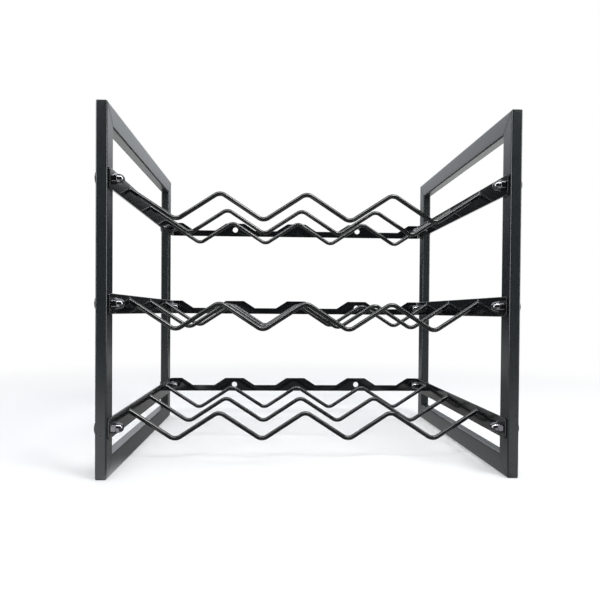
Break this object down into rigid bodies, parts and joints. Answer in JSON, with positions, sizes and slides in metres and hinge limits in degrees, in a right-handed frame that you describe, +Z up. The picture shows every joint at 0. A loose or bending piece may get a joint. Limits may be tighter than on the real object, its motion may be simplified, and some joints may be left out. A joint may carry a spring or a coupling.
{
  "type": "wine rack",
  "caption": "Counter-top wine rack: mitred tube side frames joined by bolt-in shelves of bent flat bar, with zigzag wires that cradle bottles lying down.",
  "frame": {"origin": "on the floor, in the middle of the rack's width and depth", "axes": "+X to the right seen from the front, +Y to the back, +Z up"},
  "size_m": [0.4154, 0.327, 0.36],
  "materials": {
    "frame_coat": "satin charcoal powder coat",
    "band_coat": "gloss black coat",
    "wire_coat": "gloss black coat",
    "bolt_coat": "black coat",
    "nut_plating": "polished dark nickel plate"
  },
  "bodies": {
    "root": {"left_front_post": "frame_coat", "left_rear_post": "frame_coat", "left_top_rail": "frame_coat", "left_bottom_rail": "frame_coat", "right_front_post": "frame_coat", "right_rear_post": "frame_coat", "right_top_rail": "frame_coat", "right_bottom_rail": "frame_coat", "bottom_shelf_band": "band_coat", "bottom_shelf_front_wire": "wire_coat", "bottom_shelf_middle_wire": "wire_coat", "bottom_shelf_rear_wire": "wire_coat", "middle_shelf_band": "band_coat", "middle_shelf_front_wire": "wire_coat", "middle_shelf_middle_wire": "wire_coat", "middle_shelf_rear_wire": "wire_coat", "top_shelf_band": "band_coat", "top_shelf_front_wire": "wire_coat", "top_shelf_middle_wire": "wire_coat", "top_shelf_rear_wire": "wire_coat", "shelf_bolts": "bolt_coat", "acorn_nuts": "nut_plating"}
  },
  "joints": []
}
